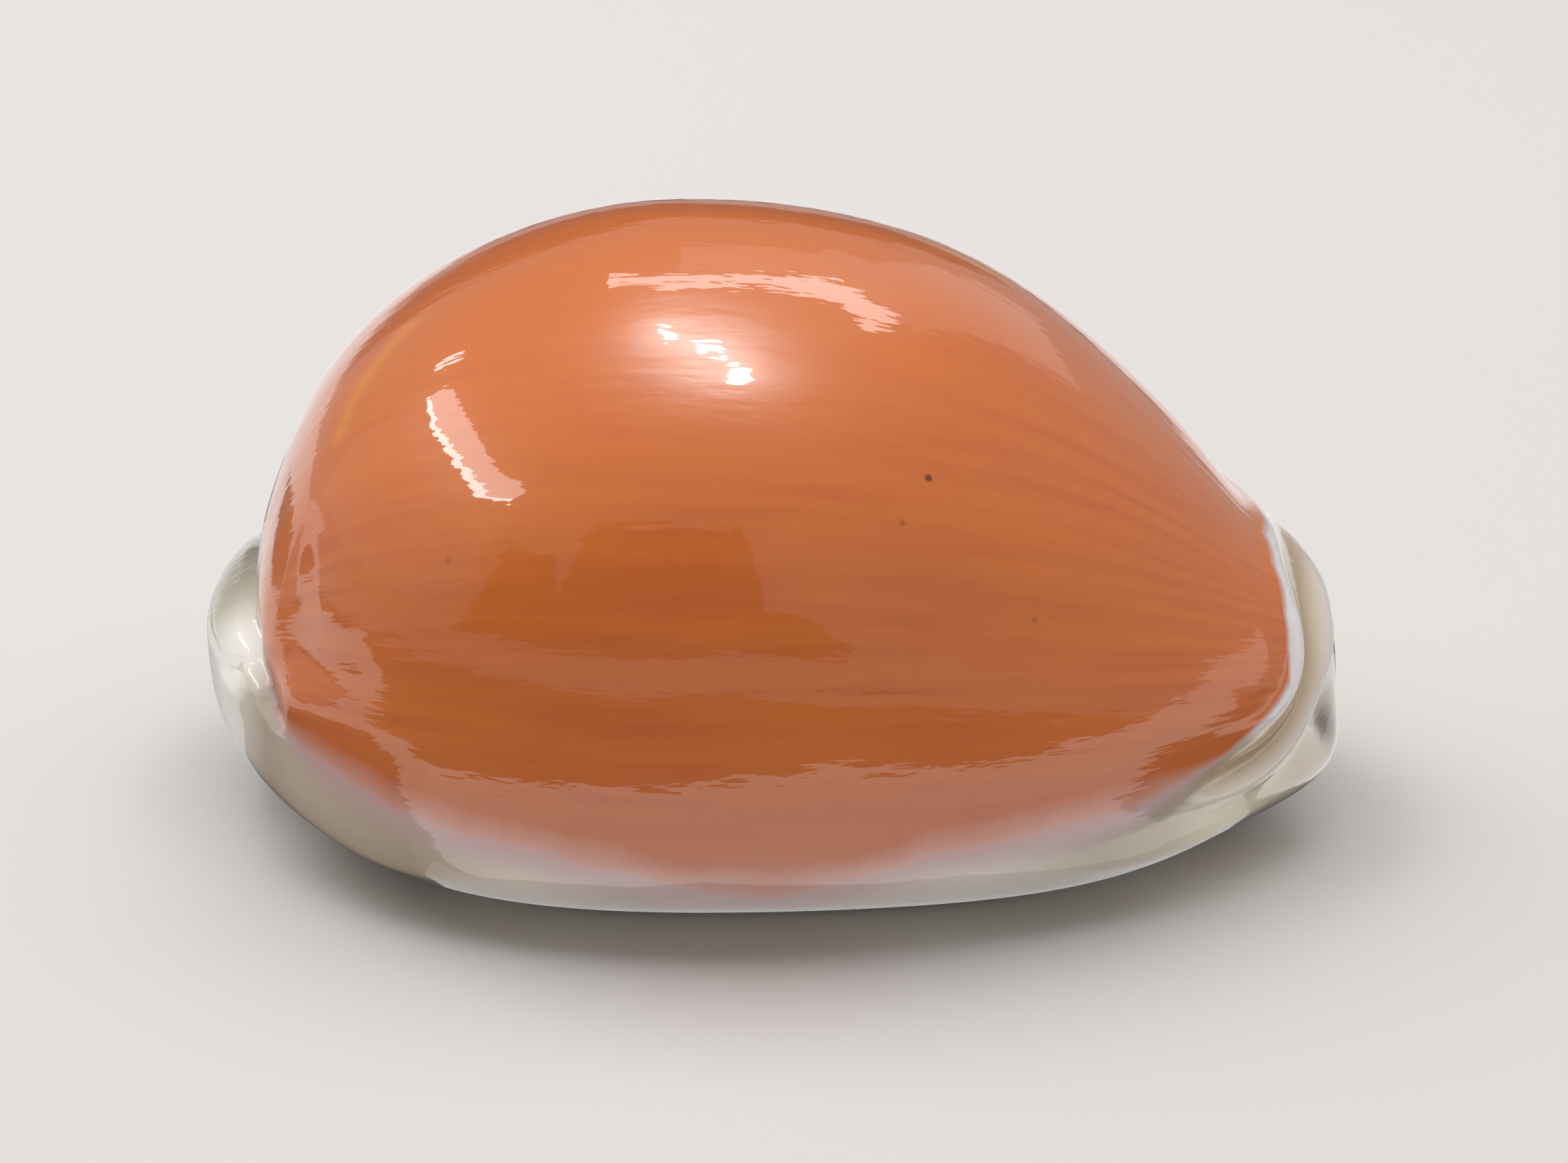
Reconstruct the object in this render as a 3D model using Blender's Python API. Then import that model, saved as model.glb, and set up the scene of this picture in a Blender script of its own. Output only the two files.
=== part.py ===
# Golden cowrie: a sea snail's shell, grown as one piece.
# It is one closed solid: a domed back, a thick callus round its foot and over both ends,
# and a toothed slit underneath that opens into the hollow where the animal lived.
#
# The shell's own frame: +X is the front (the end with the siphon's canal), -X the spire end,
# -Y the outer lip's side and +Y the inner lip's. It rests on z = 0.
# Lengths below are millimetres; mesh_from_rings turns them to metres.

import bmesh
import bpy
import numpy as np

PI = np.pi
MILLIMETRE = 0.001

# The back, seen from above: its two ends, its widest place and its half width.
BACK_FRONT_X = 42.5
BACK_REAR_X = -43.2
WIDEST_X = -2.5
HALF_WIDTH = 33.0
EGG = 0.117  # how much narrower the front half is, as a fraction
OUTLINE_POWER = 2.11  # 2 is an ellipse, more is squarer

# The back, seen from the side.
HEIGHT = 51.0
PEAK_X = -7.2
PEAK_Y = 1.0
WIDEST_Z = 15.6
WIDEST_Z_FRONT = 14.5
WIDEST_Z_REAR = 15.4
FULLNESS_SIDE = 0.08
FULLNESS_FRONT = -0.112
FULLNESS_REAR = 0.076

# The callus that wraps both ends, pushed out from the back below a level.
CALLUS_FRONT = 3.4
CALLUS_REAR = 5.1
CALLUS_FRONT_TOP = 30.3
CALLUS_FRONT_FULL = 13.8
CALLUS_REAR_TOP = 22.4
CALLUS_REAR_FULL = 15.6

# Lumps and hollows of the callus. Each has its place in degrees from the end's tip and its
# half width in degrees, its level and half height, and how far it stands out.
NEAR_LOBE = (-12.0, 11.0, 6.3, 4.8, 2.1)
FAR_LOBE = (12.0, 9.0, 10.0, 6.0, 0.9)
FAR_WELT = (9.0, 10.0, 20.3, 3.0, 0.6)
FAR_DIP = (16.0, 9.0, 26.3, 2.4, -0.7)
GREY_HOLLOW = (-13.5, 3.8, 12.0, 2.3, -1.0)
REAR_KNOB = (17.5, 3.5, 14.6, 1.8, 0.35)
REAR_DIMPLE = (16.0, 3.0, 17.5, 2.6, -0.7)
REAR_CORNER = (24.0, 11.0, 6.0, 4.0, 0.3)
REAR_SHOULDER = (-15.0, 11.0, 18.0, 3.0, 0.6)

# The base: where it is lowest, between the slit and the margin, and how it rolls up to the margin.
BASE_PLACE = 0.45
BASE_SINK = 0.55  # the base is shaped this far below zero, then pressed flat
FLAT_BLEND = 0.3
END_LIFT = 0.4
CORNER_ROLL = 0.49

# The slit.
SLIT_FRONT_X = 37.5
SLIT_REAR_X = -37.0
SLIT_Y = -1.5
SLIT_HALF_REAR = 2.9
SLIT_HALF_FRONT = 3.6
LIP_DEPTH = 5.0
LIP_POWER = 2.4
TEETH_OUTER_LIP = 26
TEETH_INNER_LIP = 24
TOOTH_HEIGHT = 0.55

# The canals, which carry the slit out through both ends.
CANAL_FRONT_HEIGHT = 6.6
CANAL_FRONT_HALF = 3.2
CANAL_REAR_HEIGHT = 5.4
CANAL_REAR_HALF = 2.7
CANAL_CEILING = 12.0

# The hollow.
WALL = 2.9
NECK_Z = 7.2
FLOOR_POWER = 2.5
HOLLOW_CENTRE = (-3.0, 0.0, 18.0)

# Colours, linear.
ORANGE = np.array([0.48, 0.13, 0.035])
CREAM = np.array([0.52, 0.45, 0.35])

# Numbers of columns round the shell.
COARSE = 52
MIDDLE = 104
FINE = 208


def ease(low, high, value):
    t = np.clip((value - low) / (high - low), 0, 1)
    return t * t * t * (t * (6 * t - 15) + 10)


def bell(value, centre, width):
    return np.exp(-(((value - centre) / width) ** 2))


def half_turn(angle):
    """The same angle, between minus half a turn and half a turn."""
    return (angle + PI) % (2 * PI) - PI


def heading(column):
    """Columns run evenly along the slit and crowd together at the shell's two ends."""
    return column - 0.25 * np.sin(2 * column)


def back_outline(angle):
    c, s = np.cos(angle), np.sin(angle)
    reach = np.where(c > 0, BACK_FRONT_X - WIDEST_X, BACK_REAR_X - WIDEST_X)
    x = WIDEST_X + reach * np.abs(c) ** (2 / OUTLINE_POWER)
    y = HALF_WIDTH * np.sign(s) * np.abs(s) ** (2 / OUTLINE_POWER) * (1 - EGG * c)
    return x, y


def widest_level(angle):
    front = bell(half_turn(angle), 0, 0.62)
    rear = bell(half_turn(angle - PI), 0, 0.75)
    level = WIDEST_Z + (WIDEST_Z_FRONT - WIDEST_Z) * front
    return level + (WIDEST_Z_REAR - WIDEST_Z) * rear


def base_level(x):
    return -BASE_SINK + END_LIFT * ease(10, 48, np.abs(x + 1))


def slit_middle(x):
    along = (2 * x - SLIT_FRONT_X - SLIT_REAR_X) / (SLIT_FRONT_X - SLIT_REAR_X)
    return SLIT_Y + 4.8 * ease(0.3, 1.3, -along) + 1.6 * ease(0.4, 1.3, along)


def slit_edge(column):
    turned = half_turn(column)
    along = 1 - 2 * np.abs(turned) / PI
    x = 0.5 * (SLIT_FRONT_X + SLIT_REAR_X) + 0.5 * (SLIT_FRONT_X - SLIT_REAR_X) * along
    half = SLIT_HALF_REAR + (SLIT_HALF_FRONT - SLIT_HALF_REAR) * ease(0.2, 0.9, along)
    half = half * np.sqrt(np.clip(1 - np.abs(along) ** 14, 0, 1))
    return x, slit_middle(x) + np.sign(turned) * half


def end_callus(angle, z):
    """How far the callus stands out from the back, with its folds, dimple and notch."""
    front_side = np.where(half_turn(angle) < 0, 0.73, 0.70)
    rear_side = np.where(half_turn(angle - PI) > 0, 0.48, 0.81)
    front = bell(half_turn(angle), 0, front_side) * (1 - ease(CALLUS_FRONT_FULL, CALLUS_FRONT_TOP, z))
    rear = bell(half_turn(angle - PI), 0, rear_side) * (1 - ease(CALLUS_REAR_FULL, CALLUS_REAR_TOP, z))
    return CALLUS_FRONT * front + CALLUS_REAR * rear + front_folds(angle, z) + rear_lumps(angle, z)


def front_folds(angle, z):
    """Two welts with a valley between them, which sweep down from the top of the front end
    and turn along the outer lip, and the two lobes beside the canal."""
    degrees = np.degrees(half_turn(angle))
    inner_welt = 19.2 + 5.5 * np.tanh((degrees + 17.5) / 9.5)
    outer_welt = inner_welt - 4.2 - 0.9 * bell(degrees, -10, 8) + 1.5 * ease(-4, 12, degrees)
    fade = ease(-46, -30, degrees) * (1 - ease(16, 34, degrees))
    folds = 0.6 * bell(z, inner_welt, 0.9) - 0.55 * bell(z, inner_welt - 3.0, 1.5)
    folds = (folds + 0.9 * bell(z, outer_welt, 1.2)) * fade
    notch = 1.3 * bell(degrees, 2, 4) * (1 - ease(13, 20, z))
    lumps = [lump(degrees, z, *each) for each in (NEAR_LOBE, FAR_LOBE, FAR_WELT, FAR_DIP, GREY_HOLLOW)]
    return folds - notch + sum(lumps)


def rear_lumps(angle, z):
    degrees = np.degrees(half_turn(angle - PI))
    return sum(lump(degrees, z, *each) for each in (REAR_KNOB, REAR_DIMPLE, REAR_CORNER, REAR_SHOULDER))


def lump(degrees, z, place, width, level, height, out):
    return out * bell(degrees, place, width) * bell(z, level, height)


def back_point(column, roll):
    """Roll is 0 at the top of the back, a quarter turn at the widest line, half a turn at the base."""
    angle = heading(column)
    c, s = np.cos(angle), np.sin(angle)
    fullness_end = np.where(c > 0, FULLNESS_FRONT, FULLNESS_REAR)
    fullness = FULLNESS_SIDE + (fullness_end - FULLNESS_SIDE) * c**2
    sine, cosine = np.sin(roll), np.cos(roll)
    below = roll > PI / 2
    turn = ease(0.30 * PI, 0.72 * PI, roll)
    reach = sine + BASE_PLACE * turn * (1 - sine)
    reach = reach * np.where(below, 1, 1 + 4 * fullness * sine**2 * cosine**2)
    margin_x, margin_y = back_outline(angle)
    slit_x, slit_y = slit_edge(column)
    centre_x = PEAK_X + (slit_x - PEAK_X) * turn
    centre_y = PEAK_Y + (slit_y - PEAK_Y) * turn
    lean = 1 + 0.8 * ease(0.5 * PI, 0.85 * PI, roll)
    x = centre_x + (margin_x - centre_x) * reach**lean
    y = centre_y + (margin_y - centre_y) * reach
    level = widest_level(angle)
    rise = (HEIGHT - level) * (1 - turn) + (level - base_level(x)) * turn
    corner = 1 - CORNER_ROLL * np.sin(2 * angle) ** 2
    z = level + rise * np.where(below, -(np.abs(cosine) ** corner), cosine)
    return angle, x, y, z


def outside(column, roll):
    angle, x, y, z = back_point(column, roll)
    sine = np.sin(roll)
    below = roll > PI / 2
    out = end_callus(angle, z) * np.where(below, ease(0.0, 0.5, sine) * np.clip(sine, 0, 1) ** 0.7, 1)
    across, along = np.cos(angle), 0.75 * np.sin(angle)
    length = np.hypot(across, along)
    return press(x + out * across / length, y + out * along / length, z)


def lip(column, roll):
    """From the base's lowest line, roll 0, up into the slit, roll a quarter turn."""
    start_x, start_y = back_point(column, PI)[1:3]
    edge_x, edge_y = slit_edge(column)
    inward = 1 - np.sin(roll) ** (2 / LIP_POWER)
    x = edge_x + (start_x - edge_x) * inward**1.8
    y = edge_y + (start_y - edge_y) * inward
    z = base_level(x) + LIP_DEPTH * (1 - np.clip(np.cos(roll), 0, 1) ** (2 / LIP_POWER))
    height = tooth(column) * ease(0.5, 1.1, roll)
    y = y - np.sign(half_turn(column)) * height * np.sin(roll)
    return press(x, y, z - height * np.cos(roll))


def slit_wall(column, z):
    x, y = slit_edge(column)
    height = tooth(column) * (1 - ease(5.3, NECK_Z, z))
    return press(x, y - np.sign(half_turn(column)) * height, z + 0 * x)


def tooth(column):
    turned = half_turn(column)
    count = np.where(turned < 0, TEETH_OUTER_LIP, TEETH_INNER_LIP)
    along = np.abs(turned) / PI
    wave = 0.5 - 0.5 * np.cos(2 * PI * count * along)
    return TOOTH_HEIGHT * wave * ease(0.0, 0.06, along) * (1 - ease(0.94, 1.0, along))


def hollow_wall(column, roll):
    """The back's inside, one wall's thickness in."""
    _, x, y, z = back_point(column, roll)
    offset = np.array([x - HOLLOW_CENTRE[0], y - HOLLOW_CENTRE[1], z - HOLLOW_CENTRE[2]])
    distance = np.linalg.norm(offset, axis=0)
    offset = offset * (1 - WALL / distance)
    return tuple(offset[i] + HOLLOW_CENTRE[i] for i in range(3))


def hollow_floor(column, roll):
    """From the top of the slit, roll 0, out and up to the hollow's widest line."""
    edge_x, edge_y = slit_edge(column)
    wide_x, wide_y, wide_z = hollow_wall(column, PI / 2)
    outward = np.sin(roll) ** (2 / FLOOR_POWER)
    x = edge_x + (wide_x - edge_x) * outward
    y = edge_y + (wide_y - edge_y) * outward
    return press(x, y, wide_z - (wide_z - NECK_Z) * np.cos(roll) ** (2 / FLOOR_POWER))


def press(x, y, z):
    """Presses both canals up into the underside and the base flat on z = 0."""
    t = z + FLAT_BLEND
    z = np.where(t < 0, 0, np.where(t < 2 * FLAT_BLEND, t * t / (4 * FLAT_BLEND), z))
    off = np.abs(y - slit_middle(x))
    front = CANAL_FRONT_HEIGHT * ease(30, 37, x) * np.exp(-((off / CANAL_FRONT_HALF) ** 4))
    rear = CANAL_REAR_HEIGHT * ease(30, 36, -x) * np.exp(-((off / CANAL_REAR_HALF) ** 4))
    return x, y, z + (front + rear) * np.clip(1 - z / CANAL_CEILING, 0, 1)


def ring(shape, count, roll):
    columns = np.arange(count) * 2 * PI / count
    points = shape(columns, roll)
    return np.stack(np.broadcast_arrays(*points), axis=1)


def shell_rings():
    """Every ring of points, from the top of the back, down, in through the slit and up again."""
    rings = [ring(outside, COARSE, roll) for roll in np.linspace(0.12, 1.08, 8)]
    rings += [ring(outside, MIDDLE, roll) for roll in np.linspace(1.20, 1.60, 12)]
    rings += [ring(outside, MIDDLE, roll) for roll in np.linspace(1.68, 2.12, 6)]
    rings += [ring(outside, MIDDLE, roll) for roll in (2.28, 2.50, 2.75, PI - 0.15)]
    rings += [ring(outside, FINE, PI)]
    rings += [ring(lip, FINE, roll) for roll in (0.28, 0.75, 1.15, PI / 2)]
    rings += [ring(slit_wall, FINE, 6.0)]
    rings += [ring(slit_wall, MIDDLE, NECK_Z)]
    rings += [ring(hollow_floor, COARSE, roll) for roll in (0.25, 0.65, 1.05, 1.4)]
    rings += [ring(hollow_wall, COARSE, roll) for roll in (PI / 2, 1.2, 0.85, 0.5, 0.2)]
    return rings


def close_end(bm, edges, tip):
    """Fills a ring and raises the middle of the fill to its tip."""
    fill = bmesh.ops.edgeloop_fill(bm, edges=edges)["faces"]
    centre = bmesh.ops.poke(bm, faces=fill)["verts"][0]
    centre.co = tip


def mesh_from_rings(name, rings, first_tip, last_tip):
    """Stands the rings' box on the origin and joins each ring to the next."""
    everything = np.concatenate(rings)
    middle = 0.5 * (everything.min(axis=0) + everything.max(axis=0)) * (1, 1, 0)
    rings = [points - middle for points in rings]
    first_tip, last_tip = first_tip - middle, last_tip - middle
    bm = bmesh.new()
    loops = []
    for points in rings:
        circle = bmesh.ops.create_circle(bm, segments=len(points), radius=1.0)["verts"]
        for vertex, point in zip(circle, points * MILLIMETRE):
            vertex.co = point
        loops.append(list({edge for vertex in circle for edge in vertex.link_edges}))
    for above, below in zip(loops, loops[1:]):
        bmesh.ops.bridge_loops(bm, edges=above + below)
    close_end(bm, loops[0], first_tip * MILLIMETRE)
    close_end(bm, loops[-1], last_tip * MILLIMETRE)
    bmesh.ops.recalc_face_normals(bm, faces=bm.faces)
    mesh = bpy.data.meshes.new(name)
    bm.to_mesh(mesh)
    bm.free()
    mesh.shade_smooth()
    return mesh


def surface_colour(x, y, z):
    """Orange on the back, cream on the callus: its edge climbs from the sides to both ends."""
    angle = np.arctan2(y / HALF_WIDTH, (x - WIDEST_X) / BACK_FRONT_X)
    edge = 8.7 + 7 * np.cos(angle) ** 2 + 9 * bell(angle, 0, 0.35) + 8 * bell(abs(angle), PI, 0.3)
    cream = 1 - ease(edge - 1, edge + 1, z)
    return ORANGE + (CREAM - ORANGE) * cream


def porcelain(name):
    material = bpy.data.materials.new(name)
    material.use_nodes = True
    nodes = material.node_tree.nodes
    surface = nodes["Principled BSDF"]
    surface.inputs["Roughness"].default_value = 0.12
    surface.inputs["Metallic"].default_value = 0.0
    colour = nodes.new("ShaderNodeVertexColor")
    colour.layer_name = "colour"
    material.node_tree.links.new(colour.outputs["Color"], surface.inputs["Base Color"])
    return material


def make_shell():
    top = np.array([np.ravel(v)[0] for v in outside(np.zeros(1), 1e-6)])
    ceiling = np.array([np.ravel(v)[0] for v in hollow_wall(np.zeros(1), 1e-6)])
    mesh = mesh_from_rings("shell", shell_rings(), top, ceiling)
    colours = mesh.color_attributes.new(name="colour", type="FLOAT_COLOR", domain="POINT")
    for vertex, colour in zip(mesh.vertices, colours.data):
        colour.color = (*surface_colour(*vertex.co / MILLIMETRE), 1.0)
    mesh.materials.append(porcelain("shell porcelain"))
    shell = bpy.data.objects.new("shell", mesh)
    bpy.context.scene.collection.objects.link(shell)


for old in list(bpy.data.objects):
    bpy.data.objects.remove(old)
make_shell()
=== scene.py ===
import bmesh
import bpy
import numpy as np
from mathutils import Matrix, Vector


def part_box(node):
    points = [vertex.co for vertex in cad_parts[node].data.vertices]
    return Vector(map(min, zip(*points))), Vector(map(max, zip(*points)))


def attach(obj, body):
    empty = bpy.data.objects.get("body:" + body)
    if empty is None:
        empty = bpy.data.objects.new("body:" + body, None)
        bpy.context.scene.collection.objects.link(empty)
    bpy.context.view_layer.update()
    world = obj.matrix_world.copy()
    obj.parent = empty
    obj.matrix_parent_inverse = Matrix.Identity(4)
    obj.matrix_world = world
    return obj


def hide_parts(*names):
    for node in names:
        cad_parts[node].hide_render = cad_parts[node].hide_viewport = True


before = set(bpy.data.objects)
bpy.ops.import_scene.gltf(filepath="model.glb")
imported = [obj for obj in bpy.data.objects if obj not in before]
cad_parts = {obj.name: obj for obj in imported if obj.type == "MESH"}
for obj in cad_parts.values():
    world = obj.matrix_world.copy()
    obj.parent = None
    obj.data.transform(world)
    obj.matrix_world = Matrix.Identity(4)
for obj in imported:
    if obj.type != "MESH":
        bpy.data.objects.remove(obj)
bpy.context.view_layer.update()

# A golden cowrie's shell, lying on its base, seen from the outer lip's side.
# +X is the front end, -X the spire end, -Y the outer lip's side. Shapes are worked out in
# millimetres and go into the meshes in metres. Degrees round the shell are counted from the
# front tip and are negative along the outer lip.

pi = np.pi
mm = 0.001


def srgb(hexCode):
    values = [int(hexCode[i:i + 2], 16) / 255 for i in (1, 3, 5)]
    linear = [v / 12.92 if v <= 0.04045 else ((v + 0.055) / 1.055) ** 2.4 for v in values]
    return (*linear, 1.0)


def ease(low, high, value):
    # 0 below low, 1 above high, smooth between them
    t = np.clip((value - low) / (high - low), 0, 1)
    return t * t * t * (t * (6 * t - 15) + 10)


def wane(low, high, value):
    return 1 - ease(low, high, value)


def bell(value, centre, width):
    return np.exp(-(((value - centre) / width) ** 2))


def halfTurn(angle):
    # the same angle, between minus half a turn and half a turn
    return (angle + pi) % (2 * pi) - pi


# Lines measured round the shell: degrees, level.

zones = {
    # the orange's lower edge
    "orangeEdge": [(-180, 20.2), (-173, 20.0), (-168, 19.4), (-164, 18.6), (-160, 18.0), (-157, 16.9),
                   (-155.5, 15.7), (-154, 14.9), (-151, 14.4), (-147, 13.8), (-139, 13.0), (-131, 12.2),
                   (-120, 11.1), (-110, 10.3), (-102, 8.8), (-94, 6.4), (-87, 5.6), (-79, 7.3),
                   (-72, 9.8), (-64, 10.6), (-52, 11.3), (-41, 12.3), (-35, 13.4), (-30, 15.0),
                   (-26, 16.1), (-23, 17.2), (-20, 19.4), (-16, 21.5), (-9, 24.0), (-2, 25.2), (8, 25.0),
                   (16, 24.2), (30, 19.0), (45, 14.5), (70, 10.2), (95, 8.0), (125, 11.2), (150, 15.2),
                   (163, 18.5), (171, 19.7), (180, 20.2)],
    # where the thick callus of the front end thins out along the outer lip
    "callusLine": [(-60, 7.6), (-48, 8.5), (-44, 9.0), (-41, 9.9), (-37, 11.0), (-34, 12.4), (-30, 14.0)],
}


def zoneLevel(name, degrees):
    places, levels = zip(*zones[name])
    return np.interp(degrees, places, levels)


# The shell's shape.

cowrie = {
    # the mesh: columns round the shell, how far they crowd to its two ends, and down the back
    # the roll at which each stretch of rows ends, in radians, and how many rows mark it
    "columns": 640, "crowding": 0.25,
    "backRows": [(1.12, 28), (1.36, 17), (1.52, 29), (1.70, 19), (pi, 27)],
    "lipRows": 12, "slitLevels": [5.6, 6.3], "depthPerLevel": 0.1,
    "floorRolls": [0.25, 0.55, 0.9, 1.2, 1.45], "roofRolls": [pi / 2, 1.2, 0.85, 0.5, 0.2, 0.0],
    # the back from above
    "backFront": 42.5, "backRear": -43.2, "widestX": -2.5, "halfWidth": 33.0,
    "egg": 0.117, "outlinePower": 2.11,
    # the back from the side, with how far round each end's own widest level reaches, in radians
    "height": 51.0, "peakX": -7.2, "peakY": 1.0,
    "widestZ": 15.6, "widestZFront": 14.5, "widestZRear": 15.4, "reachFront": 0.62, "reachRear": 0.75,
    "fullnessSide": 0.08, "fullnessFront": -0.112, "fullnessRear": 0.076,
    # where its rings turn from round the peak to round the slit, in half turns of roll
    "turnFrom": 0.30, "turnTo": 0.72, "leanFrom": 0.5, "leanTo": 0.85, "lean": 0.8,
    # the callus over both ends: mm out, levels, and how far it goes on each side, in radians
    "callusFront": 3.4, "callusFrontTop": 30.3, "callusFrontFull": 13.8,
    "callusFrontOuter": 0.73, "callusFrontInner": 0.70,
    "callusRear": 5.1, "callusRearTop": 22.4, "callusRearFull": 15.6,
    "callusRearOuter": 0.48, "callusRearInner": 0.81,
    "callusSideways": 0.75, "callusUnder": 0.5, "callusUnderPower": 0.7,
    # the base
    "basePlace": 0.45, "baseSink": 0.55, "flatBlend": 0.3, "cornerRoll": 0.49,
    "endLift": 0.4, "liftMiddle": -1.0, "liftFrom": 10.0, "liftTo": 48.0,
    # the slit: its ends and half widths, then mm aside and the shares of its half length
    # between which it bends aside
    "slitFront": 37.5, "slitRear": -37.0, "slitY": -1.5, "slitHalfRear": 2.9, "slitHalfFront": 3.6,
    "slitWidens": (0.2, 0.9), "slitEndPower": 14,
    "bendRear": (4.8, 0.3, 1.3), "bendFront": (1.6, 0.4, 1.3),
    # its lips and teeth
    "lipDepth": 5.0, "lipPower": 2.4, "lipLean": 1.8, "teethOuter": 26, "teethInner": 24,
    "toothHeight": 0.55, "toothRise": (0.5, 1.1), "toothTop": 5.3, "teethFade": 0.06,
    # the hollow
    "wall": 2.9, "neckZ": 7.2, "floorPower": 2.5, "hollowCentre": (-3.0, 0.0, 18.0),
    # the level up to which the canals press, and how square they are across
    "canalCeiling": 12.0, "canalPower": 4,
}

# The canals: way along x, height, half width, and mm from the middle where each starts and is full.
canals = {
    "front": (1, 6.6, 3.2, 30.0, 37.0),
    "rear": (-1, 5.4, 2.7, 30.0, 36.0),
}

# The two welts of the front end, one below the other, with a valley between them.
welts = {
    # the inner one's middle level, how far it sweeps up and down from there, and where
    "middleZ": 19.2, "sweep": 5.5, "sweepAt": -17.5, "sweepWidth": 9.5,
    # how far the outer one lies below it, dips further and climbs again: mm, and where
    "outerBelow": 4.2, "outerDip": (0.9, -10.0, 8.0), "outerClimb": (1.5, -4.0, 12.0),
    # degrees over which both come and go
    "comes": (-46.0, -30.0), "goes": (16.0, 34.0),
    # mm out and half height, and for the valley mm below the inner welt
    "innerOut": 0.6, "innerHalf": 0.9, "outerOut": 0.9, "outerHalf": 1.2,
    "valleyIn": 0.55, "valleyBelow": 3.0, "valleyHalf": 1.5,
    # the notch of the front canal: mm in, degrees, half width, and the levels over which it ends
    "notch": (1.3, 2.0, 4.0), "notchEnds": (13.0, 20.0),
}

# The rear callus ends in a step near the tip, and the back swells a little over it.
crease = {
    # mm out at the tip and further from it, and the degrees between
    "swell": 0.9, "swellMore": 1.6, "swellFrom": 6.0, "swellTo": 24.0,
    # mm up to where the swelling ends
    "swellHeight": 13.0, "swellHeightMore": 4.0,
    "stepFrom": -1.1, "stepTo": 0.1, "groove": 0.25, "grooveHalf": 0.3,
    # degrees off the tip over which the step fades
    "fadeFrom": 22.0, "fadeTo": 33.0,
}

# Lumps of callus: degrees from the end's tip, half width in degrees, level, half height, mm out.
frontLumps = {
    "nearLobe": (-12.0, 11.0, 6.3, 4.8, 2.1),
    "farLobe": (12.0, 9.0, 10.0, 6.0, 0.9),
    "farWelt": (9.0, 10.0, 20.3, 3.0, 0.6),
    "farDip": (16.0, 9.0, 26.3, 2.4, -0.7),
    "greyHollow": (-13.5, 3.8, 12.0, 2.3, -1.0),
}
rearLumps = {
    "knob": (17.5, 3.5, 14.6, 1.8, 0.35),
    "dimple": (16.0, 3.0, 17.5, 2.6, -0.7),
    "corner": (24.0, 11.0, 6.0, 4.0, 0.3),
    "shoulder": (-15.0, 11.0, 18.0, 3.0, 0.6),
}


def heading(column):
    # columns run evenly along the slit and crowd together at the shell's two ends
    return column - cowrie["crowding"] * np.sin(2 * column)


def backOutline(angle):
    c, s = np.cos(angle), np.sin(angle)
    reach = np.where(c > 0, cowrie["backFront"], cowrie["backRear"]) - cowrie["widestX"]
    x = cowrie["widestX"] + reach * np.abs(c) ** (2 / cowrie["outlinePower"])
    y = cowrie["halfWidth"] * np.sign(s) * np.abs(s) ** (2 / cowrie["outlinePower"])
    return x, y * (1 - cowrie["egg"] * c)


def widestLevel(angle):
    level = cowrie["widestZ"]
    front = (cowrie["widestZFront"] - level) * bell(halfTurn(angle), 0, cowrie["reachFront"])
    rear = (cowrie["widestZRear"] - level) * bell(halfTurn(angle - pi), 0, cowrie["reachRear"])
    return level + front + rear


def baseLevel(x):
    fromMiddle = np.abs(x - cowrie["liftMiddle"])
    return -cowrie["baseSink"] + cowrie["endLift"] * ease(cowrie["liftFrom"], cowrie["liftTo"], fromMiddle)


def slitMiddle(x):
    front, rear = cowrie["slitFront"], cowrie["slitRear"]
    along = (2 * x - front - rear) / (front - rear)
    rearAside, rearFrom, rearTo = cowrie["bendRear"]
    frontAside, frontFrom, frontTo = cowrie["bendFront"]
    rearBend = rearAside * ease(rearFrom, rearTo, -along)
    return cowrie["slitY"] + rearBend + frontAside * ease(frontFrom, frontTo, along)


def slitEdge(column):
    turned = halfTurn(column)
    along = 1 - 2 * np.abs(turned) / pi
    front, rear = cowrie["slitFront"], cowrie["slitRear"]
    x = 0.5 * (front + rear) + 0.5 * (front - rear) * along
    wider = cowrie["slitHalfFront"] - cowrie["slitHalfRear"]
    half = cowrie["slitHalfRear"] + wider * ease(*cowrie["slitWidens"], along)
    half = half * np.sqrt(np.clip(1 - np.abs(along) ** cowrie["slitEndPower"], 0, 1))
    return x, slitMiddle(x) + np.sign(turned) * half


def lump(degrees, z, place, width, level, height, out):
    return out * bell(degrees, place, width) * bell(z, level, height)


def weltLevels(degrees):
    # the two welts sweep down from the top of the front end and turn along the outer lip
    across = (degrees - welts["sweepAt"]) / welts["sweepWidth"]
    inner = welts["middleZ"] + welts["sweep"] * np.tanh(across)
    dip, *dipPlace = welts["outerDip"]
    climb, *climbPlace = welts["outerClimb"]
    outer = inner - welts["outerBelow"] - dip * bell(degrees, *dipPlace)
    outer = outer + climb * ease(*climbPlace, degrees)
    fade = ease(*welts["comes"], degrees) * wane(*welts["goes"], degrees)
    return inner, outer, fade


def frontFolds(angle, z):
    degrees = np.degrees(halfTurn(angle))
    inner, outer, fade = weltLevels(degrees)
    innerWelt = welts["innerOut"] * bell(z, inner, welts["innerHalf"])
    valley = welts["valleyIn"] * bell(z, inner - welts["valleyBelow"], welts["valleyHalf"])
    outerWelt = welts["outerOut"] * bell(z, outer, welts["outerHalf"])
    depth, *notchPlace = welts["notch"]
    notch = depth * bell(degrees, *notchPlace) * wane(*welts["notchEnds"], z)
    lumps = sum(lump(degrees, z, *each) for each in frontLumps.values())
    return (innerWelt - valley + outerWelt) * fade - notch + lumps


def rearFolds(angle, z):
    degrees = np.degrees(halfTurn(angle - pi))
    return sum(lump(degrees, z, *each) for each in rearLumps.values())


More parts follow.
